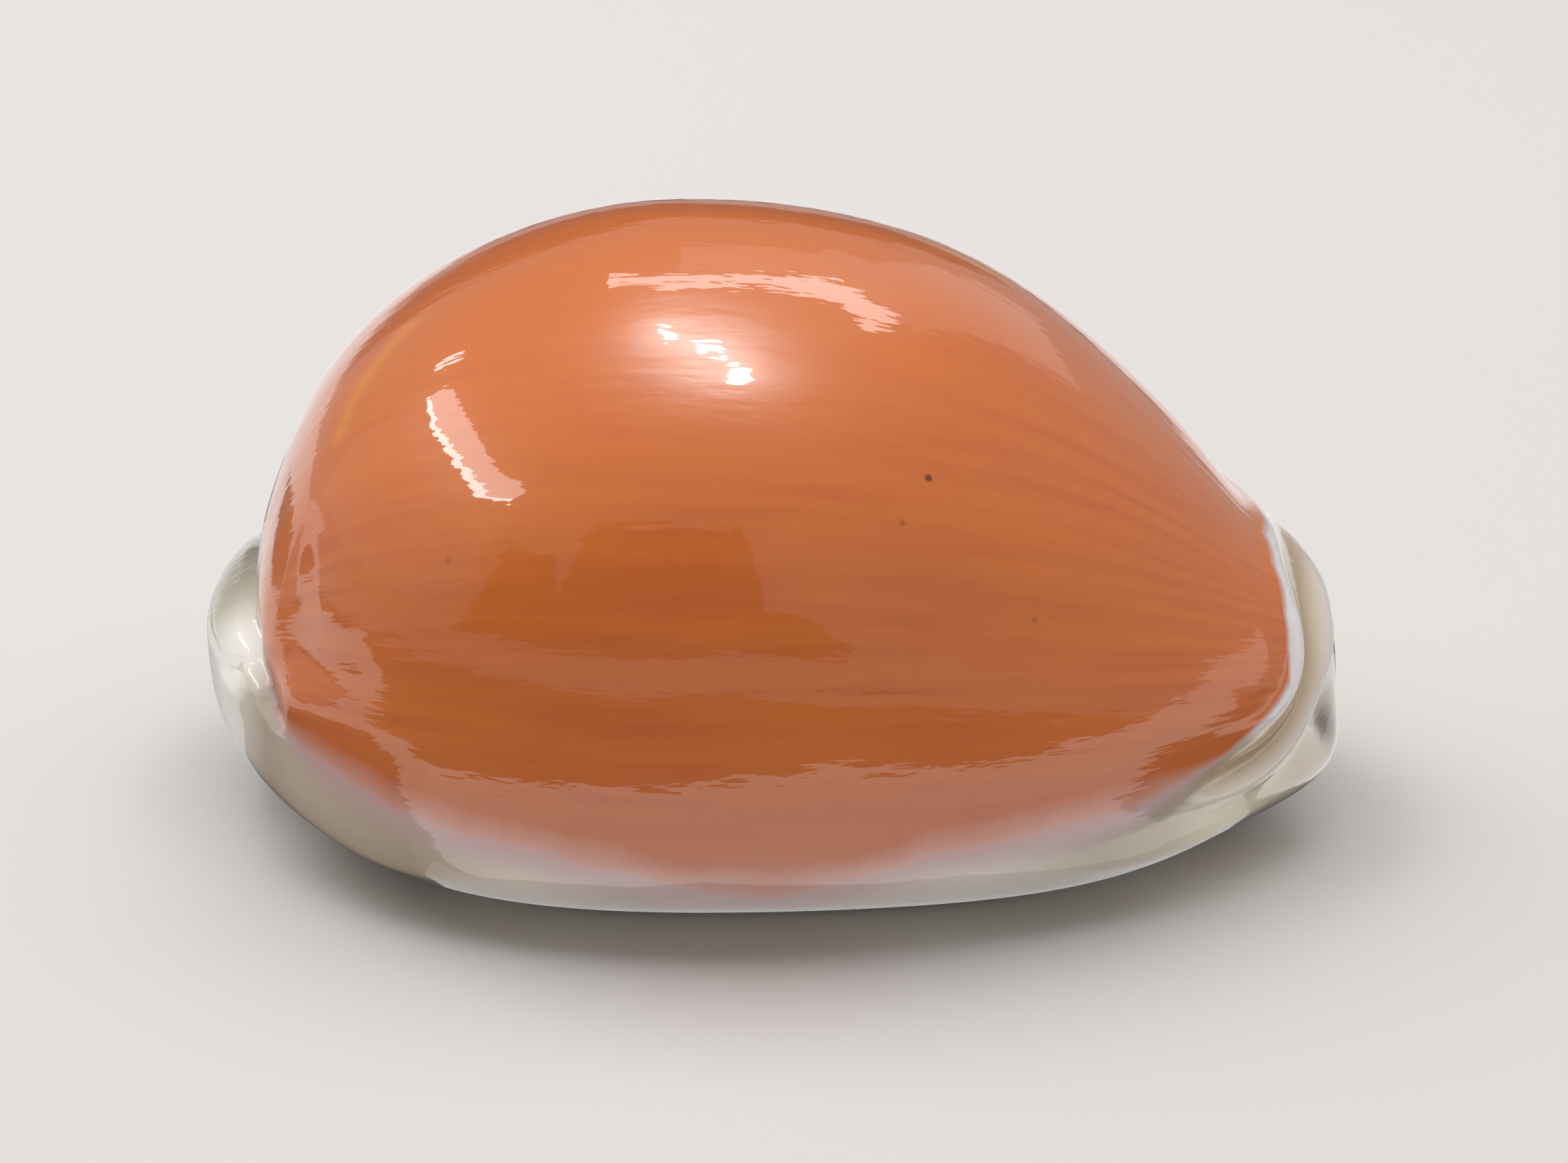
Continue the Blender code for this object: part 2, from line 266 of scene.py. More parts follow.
def rearCallus(angle, z):
    turned = halfTurn(angle - pi)
    fall = bell(turned, 0, np.where(turned > 0, cowrie["callusRearOuter"], cowrie["callusRearInner"]))
    plain = cowrie["callusRear"] * fall * wane(cowrie["callusRearFull"], cowrie["callusRearTop"], z)
    offTip = np.degrees(np.abs(turned))
    above = z - zoneLevel("orangeEdge", np.degrees(halfTurn(angle)))
    away = ease(crease["swellFrom"], crease["swellTo"], offTip)
    swellTop = crease["swellHeight"] + crease["swellHeightMore"] * away
    swell = fall * (crease["swell"] + crease["swellMore"] * away)
    swell = swell * (0.5 + 0.5 * np.cos(pi * np.clip(above / swellTop, 0, 1)))
    groove = crease["groove"] * bell(above, 0, crease["grooveHalf"])
    stepped = plain + (swell - plain) * ease(crease["stepFrom"], crease["stepTo"], above) - groove
    return plain + (stepped - plain) * wane(crease["fadeFrom"], crease["fadeTo"], offTip)


def endCallus(angle, z):
    turned = halfTurn(angle)
    side = np.where(turned < 0, cowrie["callusFrontOuter"], cowrie["callusFrontInner"])
    front = bell(turned, 0, side) * wane(cowrie["callusFrontFull"], cowrie["callusFrontTop"], z)
    return cowrie["callusFront"] * front + rearCallus(angle, z) + frontFolds(angle, z) + rearFolds(angle, z)


def backPoint(column, roll):
    # roll is 0 at the top of the back, a quarter turn at the widest line, half a turn at the base
    angle = heading(column)
    c, s = np.cos(angle), np.sin(angle)
    endFullness = np.where(c > 0, cowrie["fullnessFront"], cowrie["fullnessRear"])
    fullness = cowrie["fullnessSide"] + (endFullness - cowrie["fullnessSide"]) * c**2
    sine, cosine = np.sin(roll), np.cos(roll)
    below = roll > pi / 2
    turn = ease(cowrie["turnFrom"] * pi, cowrie["turnTo"] * pi, roll)
    reach = sine + cowrie["basePlace"] * turn * (1 - sine)
    reach = reach * np.where(below, 1, 1 + 4 * fullness * sine**2 * cosine**2)
    marginX, marginY = backOutline(angle)
    slitX, slitY = slitEdge(column)
    centreX = cowrie["peakX"] + (slitX - cowrie["peakX"]) * turn
    centreY = cowrie["peakY"] + (slitY - cowrie["peakY"]) * turn
    lean = 1 + cowrie["lean"] * ease(cowrie["leanFrom"] * pi, cowrie["leanTo"] * pi, roll)
    x = centreX + (marginX - centreX) * reach**lean
    y = centreY + (marginY - centreY) * reach
    level = widestLevel(angle)
    rise = (cowrie["height"] - level) * (1 - turn) + (level - baseLevel(x)) * turn
    corner = 1 - cowrie["cornerRoll"] * np.sin(2 * angle) ** 2
    z = level + rise * np.where(below, -(np.abs(cosine) ** corner), cosine)
    return angle, x, y, z


def press(x, y, z):
    # presses both canals up into the underside and the base flat on the ground
    blend = cowrie["flatBlend"]
    t = z + blend
    z = np.where(t < 0, 0, np.where(t < 2 * blend, t * t / (4 * blend), z))
    off = np.abs(y - slitMiddle(x))
    lift = sum(height * ease(start, full, way * x) * np.exp(-((off / half) ** cowrie["canalPower"]))
               for way, height, half, start, full in canals.values())
    return x, y, z + lift * np.clip(1 - z / cowrie["canalCeiling"], 0, 1)


def outside(column, roll):
    angle, x, y, z = backPoint(column, roll)
    sine = np.sin(roll)
    below = roll > pi / 2
    under = ease(0.0, cowrie["callusUnder"], sine) * np.clip(sine, 0, 1) ** cowrie["callusUnderPower"]
    out = endCallus(angle, z) * np.where(below, under, 1)
    along, across = np.cos(angle), cowrie["callusSideways"] * np.sin(angle)
    length = np.hypot(along, across)
    return press(x + out * along / length, y + out * across / length, z)


def toothWave(column):
    turned = halfTurn(column)
    count = np.where(turned < 0, cowrie["teethOuter"], cowrie["teethInner"])
    along = np.abs(turned) / pi
    fade = ease(0.0, cowrie["teethFade"], along) * wane(1 - cowrie["teethFade"], 1.0, along)
    return (0.5 - 0.5 * np.cos(2 * pi * count * along)) * fade


def lip(column, roll):
    # from the base's lowest line, roll 0, up into the slit, roll a quarter turn
    startX, startY = backPoint(column, pi)[1:3]
    edgeX, edgeY = slitEdge(column)
    inward = 1 - np.sin(roll) ** (2 / cowrie["lipPower"])
    x = edgeX + (startX - edgeX) * inward ** cowrie["lipLean"]
    y = edgeY + (startY - edgeY) * inward
    z = baseLevel(x) + cowrie["lipDepth"] * (1 - np.clip(np.cos(roll), 0, 1) ** (2 / cowrie["lipPower"]))
    height = cowrie["toothHeight"] * toothWave(column) * ease(*cowrie["toothRise"], roll)
    y = y - np.sign(halfTurn(column)) * height * np.sin(roll)
    return press(x, y, z - height * np.cos(roll))


def slitWall(column, z):
    x, y = slitEdge(column)
    height = cowrie["toothHeight"] * toothWave(column) * wane(cowrie["toothTop"], cowrie["neckZ"], z)
    return press(x, y - np.sign(halfTurn(column)) * height, z + 0 * x)


def hollowWall(column, roll):
    # the back's inside, one wall's thickness in
    point = np.array(backPoint(column, roll)[1:])
    centre = np.array(cowrie["hollowCentre"])[:, None]
    offset = point - centre
    return tuple(centre + offset * (1 - cowrie["wall"] / np.linalg.norm(offset, axis=0)))


def hollowFloor(column, roll):
    # from the top of the slit, roll 0, out and up to the hollow's widest line
    edgeX, edgeY = slitEdge(column)
    wideX, wideY, wideZ = hollowWall(column, pi / 2)
    outward = np.sin(roll) ** (2 / cowrie["floorPower"])
    x = edgeX + (wideX - edgeX) * outward
    y = edgeY + (wideY - edgeY) * outward
    return press(x, y, wideZ - (wideZ - cowrie["neckZ"]) * np.cos(roll) ** (2 / cowrie["floorPower"]))


def shellRows():
    # every ring of the shell, from the top of the back, down, in through the slit and up again,
    # with its depth: 0 outside, up to 1 over the lip, more in the slit, 2 in the hollow
    rolls = [0.0]
    for end, count in cowrie["backRows"]:
        rolls += list(np.linspace(rolls[-1], end, count)[1:])
    slitLevels = (*cowrie["slitLevels"], cowrie["neckZ"])
    rows = [(outside, roll, 0.0) for roll in rolls]
    rows += [(lip, roll, roll / (pi / 2)) for roll in np.linspace(0, pi / 2, cowrie["lipRows"])[1:]]
    rows += [(slitWall, z, 1 + z * cowrie["depthPerLevel"]) for z in slitLevels]
    rows += [(hollowFloor, roll, 2.0) for roll in cowrie["floorRolls"]]
    rows += [(hollowWall, roll, 2.0) for roll in cowrie["roofRolls"]]
    return rows


# Where the colours change.

# The callus's colour changes round the shell: degrees, colour. It is partly the callus's own colour and
# partly painted shade, greyer and darker where its margins lie in shade.
callusRound = [(-180, "#a39883"), (-174, "#bfb6a4"), (-166, "#f2eee6"), (-161, "#ebe4d8"),
               (-155, "#bfaf9d"), (-148, "#c4b39f"), (-130, "#b7a691"), (-116, "#d2c3b5"),
               (-104, "#c2aba1"), (-95, "#cfa597"), (-85, "#cf9a8a"), (-76, "#d2bdb1"),
               (-66, "#d6ccc0"), (-52, "#bfb1a2"), (-44, "#cdbfad"), (-34, "#ebe2c9"),
               (-20, "#d8c9b3"), (0, "#d3c8b7"), (40, "#e0d5c4"), (75, "#e6dacd"), (100, "#d8b8aa"),
               (130, "#b9aa9a"), (155, "#bbab99"), (168, "#8f8571"), (180, "#a39883")]

# Streaks of deeper gold in the orange, each along a few points on the back, in mm.
goldStreaks = [
    [(-30.0, -3.6, 43.9), (-32.6, -6.5, 41.6), (-34.4, -8.9, 39.5), (-35.5, -12.2, 36.9)],
    [(12.2, 5.7, 47.3), (15.4, 6.0, 45.8), (18.6, 7.0, 43.8)],
]

marking = {
    # how soft the orange's edge is, in mm, and how much less so at both ends and more so below
    "soft": 2.3, "softFront": -2.1, "softRear": -2.12,
    "softBelow": 0.9, "belowAt": -88.0, "belowWidth": 16.0,
    # degrees off its middle over which each end goes
    "frontMiddle": -3.0, "frontGoes": (26.0, 52.0), "rearGoes": (20.0, 40.0),
    # levels over which a colour comes or goes: the base's callus, the painted shade low on the back, and
    # the darker top, partly painted shade
    "baseGoes": (0.4, 3.5), "footShadeGoes": (8.0, 22.0), "crownShadeComes": (32.0, 51.0),
    # mm above the welts, half height, and how strong the outer one is
    "innerAbove": 0.5, "innerHalf": 0.8, "outerAbove": -0.2, "outerHalf": 1.0, "outerShare": 0.5,
    "valleyAbove": -2.4, "valleyHalf": 1.5,
    # the grey patch, the callus's own translucent grey with painted shade in its hollow: degrees and half
    # width, level and half height
    "greyDegrees": (-11.8, 3.4), "greyLevels": (10.9, 2.1),
    # the thin callus: mm over which it comes above its line, and degrees
    "thinComesOver": 0.35, "thinComes": (-64.0, -50.0), "thinGoes": (-33.0, -29.0),
    # mm: a golden streak's half width, and the painted shade along the crease: its middle and half height
    "goldHalf": 0.8, "creaseShadeAbove": 0.9, "creaseShadeHalf": 0.9,
    # in the slit and the hollow there is no orange
    "noOrange": -30.0,
    # the round bar that lengthwise grain is laid on
    "barRadius": 24.0, "barZ": 14.0,
}


def callusColour(degrees):
    places, colours = zip(*callusRound)
    channels = zip(*[srgb(colour)[:3] for colour in colours])
    return [np.interp(degrees, places, channel) for channel in channels]


def nearestStreak(x, y, z):
    # mm to the nearest golden streak
    nearest = np.full(np.shape(x), np.inf)
    point = np.stack([x, y, z])
    for streak in goldStreaks:
        for start, end in zip(streak, streak[1:]):
            start, way = np.array(start)[:, None], np.subtract(end, start)[:, None]
            along = np.clip(((point - start) * way).sum(0) / (way * way).sum(), 0, 1)
            nearest = np.minimum(nearest, np.linalg.norm(point - start - way * along, axis=0))
    return nearest


def shellZones(column, x, y, z, depth):
    degrees = np.degrees(halfTurn(heading(column)))
    inner, outer, fade = weltLevels(degrees)
    outerSide = depth == 0
    front = wane(*marking["frontGoes"], np.abs(degrees - marking["frontMiddle"]))
    rear = wane(*marking["rearGoes"], 180 - np.abs(degrees))
    below = bell(degrees, marking["belowAt"], marking["belowWidth"])
    edge = z - zoneLevel("orangeEdge", degrees)
    softness = (marking["soft"] + marking["softFront"] * front + marking["softRear"] * rear
                + marking["softBelow"] * below)
    innerWelt = bell(z, inner + marking["innerAbove"], marking["innerHalf"])
    outerWelt = bell(z, outer + marking["outerAbove"], marking["outerHalf"])
    thinOver = marking["thinComesOver"]
    thin = ease(-thinOver, thinOver, z - zoneLevel("callusLine", degrees))
    thin = thin * ease(*marking["thinComes"], degrees) * wane(*marking["thinGoes"], degrees)
    around = np.arctan2(y, z - marking["barZ"])
    return {
        # mm above the orange's edge, in units of how soft the edge is there
        "orange": np.where(outerSide, edge / softness, marking["noOrange"]),
        "base": np.where(outerSide, wane(*marking["baseGoes"], z), 1.0),
        "welt": (innerWelt + marking["outerShare"] * outerWelt) * fade * outerSide,
        "valley": bell(z, inner + marking["valleyAbove"], marking["valleyHalf"]) * fade * outerSide,
        # the callus's own grey, and painted shade in the hollow
        "greyShadePatch": bell(degrees, *marking["greyDegrees"]) * bell(z, *marking["greyLevels"]) * outerSide,
        "thin": thin * outerSide,
        # partly painted shade: the orange darker and a little more golden towards the top, under the bright
        # light from above
        "crownShade": ease(*marking["crownShadeComes"], z) * outerSide,
        "gold": bell(nearestStreak(x, y, z), 0, marking["goldHalf"]) * outerSide,
        # painted shade: a dark line along the rear crease
        "crease": bell(edge, marking["creaseShadeAbove"], marking["creaseShadeHalf"]) * rear * outerSide,
        # painted shade: the orange darker low on the back
        "footShade": wane(*marking["footShadeGoes"], z) * outerSide,
        "depth": depth + 0 * x,
        "tooth": toothWave(column) * (depth > 0),
        # the place on the bar, for what was laid down lengthwise
        "grain": (x, marking["barRadius"] * np.sin(around), marking["barRadius"] * np.cos(around)),
        "callus": callusColour(degrees),
    }


def buildShell():
    rows = shellRows()
    columns = np.linspace(0, 2 * pi, cowrie["columns"] + 1)
    points, marks = [], []
    for shape, place, depth in rows:
        x, y, z = np.broadcast_arrays(*shape(columns, place))
        points.append(np.stack([x, y, z], axis=1))
        marks.append(shellZones(columns, x, y, z, depth))
    points = np.array(points)

    # the dense surface takes the CAD node's own box
    low, high = [np.array(corner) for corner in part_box("shell")]
    rawLow, rawHigh = points.min(axis=(0, 1)), points.max(axis=(0, 1))
    placed = low + (points - rawLow) / (rawHigh - rawLow) * (high - low)

    bm = bmesh.new()
    bmesh.ops.create_grid(bm, x_segments=cowrie["columns"], y_segments=len(rows) - 1, size=1.0)
    triples = {name: bm.verts.layers.float_vector.new(name) for name in ("grain", "callus")}
    floats = {name: bm.verts.layers.float.new(name) for name in marks[0] if name not in triples}
    for vert in bm.verts:
        column = round((vert.co.x + 1) / 2 * cowrie["columns"])
        row = round((vert.co.y + 1) / 2 * (len(rows) - 1))
        vert.co = placed[row, column]
        for name, layer in floats.items():
            vert[layer] = float(marks[row][name][column])
        for name, layer in triples.items():
            vert[layer] = [float(part[column]) for part in marks[row][name]]
    bmesh.ops.remove_doubles(bm, verts=bm.verts, dist=0.001 * mm)
    bmesh.ops.recalc_face_normals(bm, faces=bm.faces)
    mesh = bpy.data.meshes.new("cowrieShell")
    bm.to_mesh(mesh)
    bm.free()
    mesh.shade_smooth()
    shell = bpy.data.objects.new("cowrieShell", mesh)
    bpy.context.scene.collection.objects.link(shell)
    return shell


# Aragonite, laid down by the animal's mantle as a glassy glaze: to the eye a hard, clear shine over
# deep orange, and over milky callus along the margins.

glaze = {
    "orange": "#cf6e31", "redOrange": "#b9532a", "goldOrange": "#d8791f", "lilac": "#c4a7a6",
    "pink": "#d09c8d", "toothOrange": "#c8692f", "inside": "#d8cdc4", "speck": "#5a2a18",
    # streaks, per mm along the shell and across it, with the noise values that they span
    "streakScale": (0.05, 0.9, 0.9), "streakDetail": 6.0,
    "streakSpan": (0.40, 0.72), "streakShare": 0.48,
    # clouds and the edge's waver, per metre
    "cloudScale": 70.0, "cloudDetail": 2.0, "cloudSpan": (0.35, 0.65), "cloudShare": 0.25,
    "waverScale": 160.0, "waverDetail": 4.0, "waver": 0.9,
    # units of softness on each side of the edge, and between which shares of that each colour comes
    "edgeSpan": 2.0, "lilacSpan": (0.12, 0.36), "pinkSpan": (0.34, 0.50), "orangeSpan": (0.44, 0.72),
    # waves in the glaze, per mm along the shell and across it, and their height
    "rippleScale": (0.12, 0.65, 0.65), "rippleDetail": 3.0, "rippleHeight": 0.06 * mm,
    # depths over which the teeth's stain comes, and the hollow's colour
    "stainSpan": (0.25, 0.65), "insideSpan": (1.55, 1.75),
    # dark specks in the orange: where, in metres, how wide and how dark
    "specks": [((0.01326, -0.02257, 0.03871), 0.3 * mm, 0.9), ((0.0113, -0.0257, 0.0362), 0.25 * mm, 0.4),
               ((-0.0243, -0.0267, 0.0328), 0.25 * mm, 0.35), ((0.0218, -0.0252, 0.0278), 0.25 * mm, 0.3)],
    # shares of a speck's radius between which it fades
    "speckDark": 0.6, "speckGone": 1.4,
}

# What lies on the orange and on the callus: its mark, how strong it is, and its colour. The foot, crown and
# crease layers paint shade on the orange, the crown also a more golden top; the grey patch paints shade
# into a hollow of grey callus.
orangeLayers = [("crownShade", 0.7, "#cb6722"), ("footShade", 0.4, "#a8582c"), ("crease", 0.6, "#6e3d22"),
                ("gold", 0.75, "#dd8518")]
callusLayers = [("base", 1.0, "#ded3c2"), ("thin", 0.8, "#a19788"), ("valley", 1.0, "#b59a76"),
                ("welt", 1.0, "#e0dadd"), ("greyShadePatch", 1.0, "#81776d")]

glazeSockets = {
    "Roughness": 0.29, "Specular IOR Level": 0.25,
    "Coat Weight": 1.0, "Coat IOR": 1.68, "Coat Roughness": 0.025,
    "Subsurface Weight": 0.15, "Subsurface Radius": (1.0, 0.55, 0.35), "Subsurface Scale": 1.5 * mm,
}


def addNode(tree, kind, inputs=None, stops=None, **settings):
    node = tree.nodes.new(kind)
    for name, value in settings.items():
        setattr(node, name, value)
    for name, value in (inputs or {}).items():
        if isinstance(value, bpy.types.NodeSocket):
            tree.links.new(value, node.inputs[name])
        else:
            node.inputs[name].default_value = value
    if stops:
        # a ramp's two stops: place, brightness
        for element, (place, bright) in zip(node.color_ramp.elements, stops):
            element.position = place
            element.color = (bright, bright, bright, 1.0)
    return node


def calculate(tree, operation, *values):
    return addNode(tree, "ShaderNodeMath", dict(enumerate(values)), operation=operation).outputs[0]


def remap(tree, value, low, high, toLow=0.0, toHigh=1.0):
    inputs = {0: value, 1: low, 2: high, 3: toLow, 4: toHigh}
    return addNode(tree, "ShaderNodeMapRange", inputs).outputs[0]


def scaled(tree, vector, factors):
    return addNode(tree, "ShaderNodeVectorMath", {0: vector, 1: factors}, operation="MULTIPLY").outputs[0]


def noise(tree, where, scale, detail):
    inputs = {"Vector": where, "Scale": scale, "Detail": detail}
    return addNode(tree, "ShaderNodeTexNoise", inputs).outputs[0]


def laid(tree, amount, under, over):
    # one colour laid over another, each a socket or a hex colour
    under, over = [srgb(colour) if isinstance(colour, str) else colour for colour in (under, over)]
    return addNode(tree, "ShaderNodeMix", {0: amount, 6: under, 7: over}, data_type="RGBA").outputs[2]


def orangeColour(tree, marks, place, grain):
    # lengthwise streaks, about 1 mm across and 20 mm long, and clouds about 14 mm across
    streaks = noise(tree, scaled(tree, grain, glaze["streakScale"]), 1.0, glaze["streakDetail"])
    streaks = remap(tree, streaks, *glaze["streakSpan"], toHigh=glaze["streakShare"])
    clouds = noise(tree, place, glaze["cloudScale"], glaze["cloudDetail"])
    clouds = calculate(tree, "MULTIPLY", remap(tree, clouds, *glaze["cloudSpan"]), glaze["cloudShare"])
    colour = laid(tree, streaks, glaze["orange"], glaze["redOrange"])
    colour = laid(tree, clouds, colour, glaze["goldOrange"])
    for mark, share, over in orangeLayers:
        colour = laid(tree, calculate(tree, "MULTIPLY", marks[mark], share), colour, over)
    for where, radius, dark in glaze["specks"]:
        away = addNode(tree, "ShaderNodeVectorMath", {0: place, 1: where}, operation="DISTANCE")
        darkTo, goneBy = radius * glaze["speckDark"], radius * glaze["speckGone"]
        amount = remap(tree, away.outputs["Value"], darkTo, goneBy, dark, 0.0)
        colour = laid(tree, amount, colour, glaze["speck"])
    return colour


def callusLook(tree, marks):
    colour = addNode(tree, "ShaderNodeAttribute", attribute_name="callus").outputs["Color"]
    for mark, share, over in callusLayers:
        colour = laid(tree, calculate(tree, "MULTIPLY", marks[mark], share), colour, over)
    return colour


def acrossEdge(tree, marks, place, callus, orange):
    # from the callus over lilac and pink to the orange, along an edge that wavers
    waver = noise(tree, place, glaze["waverScale"], glaze["waverDetail"])
    waver = calculate(tree, "MULTIPLY_ADD", waver, glaze["waver"], -glaze["waver"] / 2)
    edge = calculate(tree, "ADD", marks["orange"], waver)
    edge = remap(tree, edge, -glaze["edgeSpan"], glaze["edgeSpan"])
    colour = callus
    for name, over in {"lilac": glaze["lilac"], "pink": glaze["pink"], "orange": orange}.items():
        start, full = glaze[name + "Span"]
        ramp = addNode(tree, "ShaderNodeValToRGB", {"Fac": edge}, stops=[(start, 0.0), (full, 1.0)])
        colour = laid(tree, ramp.outputs[0], colour, over)
    return colour


def cowrieGlaze():
    material = bpy.data.materials.new("cowrieAragoniteGlaze")
    material.use_nodes = True
    tree = material.node_tree
    surface = tree.nodes["Principled BSDF"]
    place = addNode(tree, "ShaderNodeTexCoord").outputs["Object"]
    grain = addNode(tree, "ShaderNodeAttribute", attribute_name="grain").outputs["Vector"]
    names = ["orange", "depth", "tooth"] + [layer[0] for layer in orangeLayers + callusLayers]
    marks = {}
    for name in names:
        marks[name] = addNode(tree, "ShaderNodeAttribute", attribute_name=name).outputs["Fac"]

    orange = orangeColour(tree, marks, place, grain)
    colour = acrossEdge(tree, marks, place, callusLook(tree, marks), orange)
    # the teeth are stained orange, the hollow is pale
    stain = calculate(tree, "MULTIPLY", remap(tree, marks["depth"], *glaze["stainSpan"]), marks["tooth"])
    colour = laid(tree, stain, colour, glaze["toothOrange"])
    within = remap(tree, marks["depth"], *glaze["insideSpan"])
    colour = laid(tree, within, colour, glaze["inside"])
    tree.links.new(colour, surface.inputs["Base Color"])

    # the glaze isn't quite even: shallow lengthwise waves about 1.5 mm apart break up reflections
    ripple = noise(tree, scaled(tree, grain, glaze["rippleScale"]), 1.0, glaze["rippleDetail"])
    waves = {"Height": ripple, "Strength": 1.0, "Distance": glaze["rippleHeight"]}
    bump = addNode(tree, "ShaderNodeBump", waves).outputs[0]
    tree.links.new(bump, surface.inputs["Normal"])
    tree.links.new(bump, surface.inputs["Coat Normal"])
    for name, value in glazeSockets.items():
        surface.inputs[name].default_value = value
    return material


shell = buildShell()
shell.data.materials.append(cowrieGlaze())
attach(shell, "root")
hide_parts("shell")
print("shell:", len(shell.data.polygons), "faces")


# The studio.

studio = {
    # the floor and the world, and the places that the cards and the lamps stand round, in metres
    "floor": "#cecbc8", "floorSize": 4.0, "matteRoughness": 0.8,
    "worldColour": "#ffffff", "worldStrength": 0.32,
    "cardsRound": (0.0, 0.0, 0.025), "lampsRound": (0.0, 0.0, 0.03),
    # mm: the lowest floor card, and the gap from card to card
    "firstLayer": 0.2, "layerGap": 0.1,
    # camera, in metres
    "cameraPlace": (0.019455, -0.457175, 0.22386), "cameraAim": (0.001046, -0.001, 0.019973),
    "lens": 138.2, "sensorWidth": 36.0, "clipStart": 0.01,
}

# Soft lamps: the direction they stand in, metres away, width and height in metres, and power.
# They light the surfaces and don't show in the glaze.
softLamps = {
    "above": {"towards": (0.0, 0.15, 0.99), "away": 0.9, "size": (0.9, 0.9), "power": 5.2},
    "aboveLeft": {"towards": (-0.6, 0.2, 0.77), "away": 0.9, "size": (0.7, 0.7), "power": 4.4},
    "aboveRight": {"towards": (0.6, 0.2, 0.77), "away": 0.9, "size": (0.7, 0.7), "power": 1.7},
    "low": {"towards": (0.15, -0.97, 0.12), "away": 0.9, "size": (1.0, 0.4), "power": 1.3},
}

# Cards that show only as reflections in the glaze, 1 metre away: how bright the card is, and its
# corners as seen from the shell, in degrees round from +X and up from level.
cards = {
    "tubeLeft": (3.0, [(146, 39), (150, 42), (165, 48), (180, 50), (200, 50), (217, 49), (217, 44),
                       (200, 43), (180, 44), (165, 41), (150, 37)]),
    "tubeEdge": (9.0, [(150, 37), (165, 41), (180, 44.5), (200, 44), (217, 45), (217, 42), (200, 41),
                       (180, 42.3), (165, 39.5), (150, 36)]),
    "tubeEnd": (6.0, [(136, 37), (138, 39), (140, 34), (138, 33)]),
    "tubeBack": (3.5, [(57, 50), (58, 57), (70, 54), (85, 55), (100, 55), (112, 49), (110, 45), (103, 50),
                       (90, 51), (75, 47)]),
    "panelBack": (0.62, [(54, 16), (54, 50), (75, 46), (90, 50), (97, 49), (96, 37), (82, 37), (81, 33),
                         (76, 32), (74, 16), (68, 8)]),
    "leftWall": (0.45, [(150, 2), (148, 12), (152, 34), (175, 38), (205, 38), (222, 32), (218, 14),
                        (205, 2)]),
    "rightSheet": (0.95, [(-19, -2), (-7, 9), (10, 13), (20, 14), (10, 5), (0, -3), (-6, -5)]),
    "glintOne": (480.0, [(108, 68), (104, 68), (104, 72), (108, 72)]),
    "glintTwo": (420.0, [(97, 74), (88, 74), (88, 77), (97, 77)]),
    "glintThree": (480.0, [(80, 81), (64, 81), (64, 84), (80, 84)]),
    # the dark in front of the shell, and low behind it
    "camera": (0.04, [(-152, -12), (-146, -3), (-138, 5), (-134, 28), (-121, 30), (-117, 14), (-114, 44),
                      (-82, 44), (-80, 14), (-72, 10), (-66, -4), (-62, -12)]),
    "darkBack": (0.08, [(122, 0), (119, 8), (108, 19), (84, 18), (77, 10), (76, 0)]),
}

# The floor as the glaze shows it, from the lowest layer up: how bright, and the corners in mm.
# Away from the shell it is as dim as the room, near the shell it is dark, and the shell lies on paper; by
# the foot the paper is dimmer, a painted shadow of the shell.
floorCards = {
    "roomFloor": (0.34, [(-2000, -2000), (2000, -2000), (2000, 2000), (-2000, 2000)]),
    "darkFloor": (0.06, [(-150, -110), (0, -170), (150, -110), (170, 0), (160, 330), (-90, 330),
                         (-140, 200), (-160, 0)]),
    "paper": (1.0, [(-24, -29.5), (-35, -35), (-46, -37), (-61, -38), (-54, -46), (-39, -57), (-24, -64),
                    (-3, -69), (10, -71), (19, -75), (30, -68), (49, -59), (56, -60), (82, -65), (96, -65),
                    (250, -110), (900, -330), (900, -120), (200, -32), (109, -26), (80, -32), (65, -35),
                    (46, -36), (47, -14), (40, -22), (30, -26), (14, -28), (-4, -30.5)]),
    "shadowedFootPaper": (0.5, [(-32, -32), (-24, -29.5), (-4, -30.5), (14, -28), (30, -26), (40, -22), (47, -14),
                        (30, 0), (-20, -10)]),
    "paperRear": (0.85, [(-46, -37), (-61, -38), (-74, -36), (-85, -30), (-100, -24), (-95, -12), (-75, 8),
                         (-60, 28), (-60, 60), (-50, 90), (-60, 260), (-300, 700), (-503, 835),
                         (-1100, 1000), (-1500, 600), (-454, 193), (-214, 48), (-149, 22), (-128, 10),
                         (-135, -12), (-150, -30), (-119, -38), (-73, -45), (-54, -46)]),
    "heelPaper": (0.55, [(-100, -2), (-54, -2), (-44, -2), (-30, 20), (-45, 50), (-60, 60), (-60, 28),
                         (-75, 8)]),
    "rearGap": (0.06, [(-108, 110), (-240, 185), (-325, 170), (-235, 70), (-165, 34), (-138, 50),
                       (-100, 76), (-98, 88)]),
    "paperBack": (0.9, [(-95, 125), (-55, 80), (-45, 50), (-20, 35), (40, 35), (80, 45), (170, 80),
                        (240, 260), (-110, 260)]),
    "paperRight": (0.9, [(47, -14), (60, -10), (90, -5), (150, 10), (330, 330), (240, 440), (170, 80),
                         (80, 45), (48, 20)]),
}


def flatPiece(name, corners, material):
    bm = bmesh.new()
    bm.faces.new([bm.verts.new(corner) for corner in corners])
    mesh = bpy.data.meshes.new(name)
    bm.to_mesh(mesh)
    bm.free()
    mesh.materials.append(material)
    piece = bpy.data.objects.new(name, mesh)
    bpy.context.scene.collection.objects.link(piece)
    return piece


